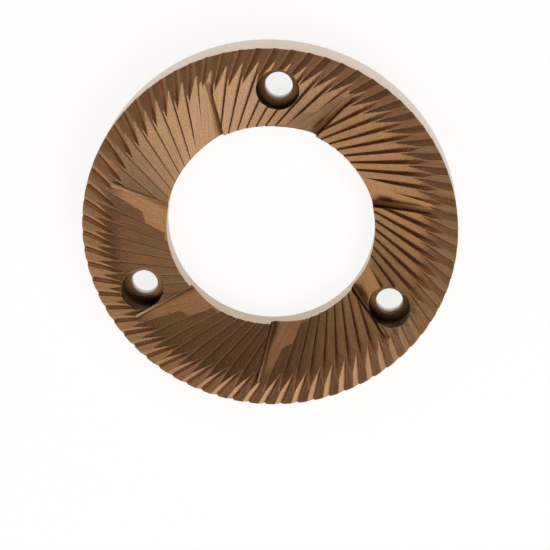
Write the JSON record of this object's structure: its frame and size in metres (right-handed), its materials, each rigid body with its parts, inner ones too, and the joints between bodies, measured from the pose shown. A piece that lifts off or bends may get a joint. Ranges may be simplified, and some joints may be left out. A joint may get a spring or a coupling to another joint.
{
  "type": "coffee grinder burr",
  "caption": "Flat ring burr with angled cutting teeth on one face, breaker gullets at the bore and counterbored screw holes.",
  "frame": {"origin": "centre of the flat back face, on the ring's axis", "axes": "+Z along the ring's axis, from the flat back towards the teeth; +X and +Y across the ring, with a screw hole about three degrees from +Y"},
  "size_m": [0.075, 0.075, 0.0075],
  "materials": {
    "coated_steel": "satin bronze-coloured hard coating over ground steel"
  },
  "bodies": {
    "root": {"burr": "coated_steel"}
  },
  "joints": []
}
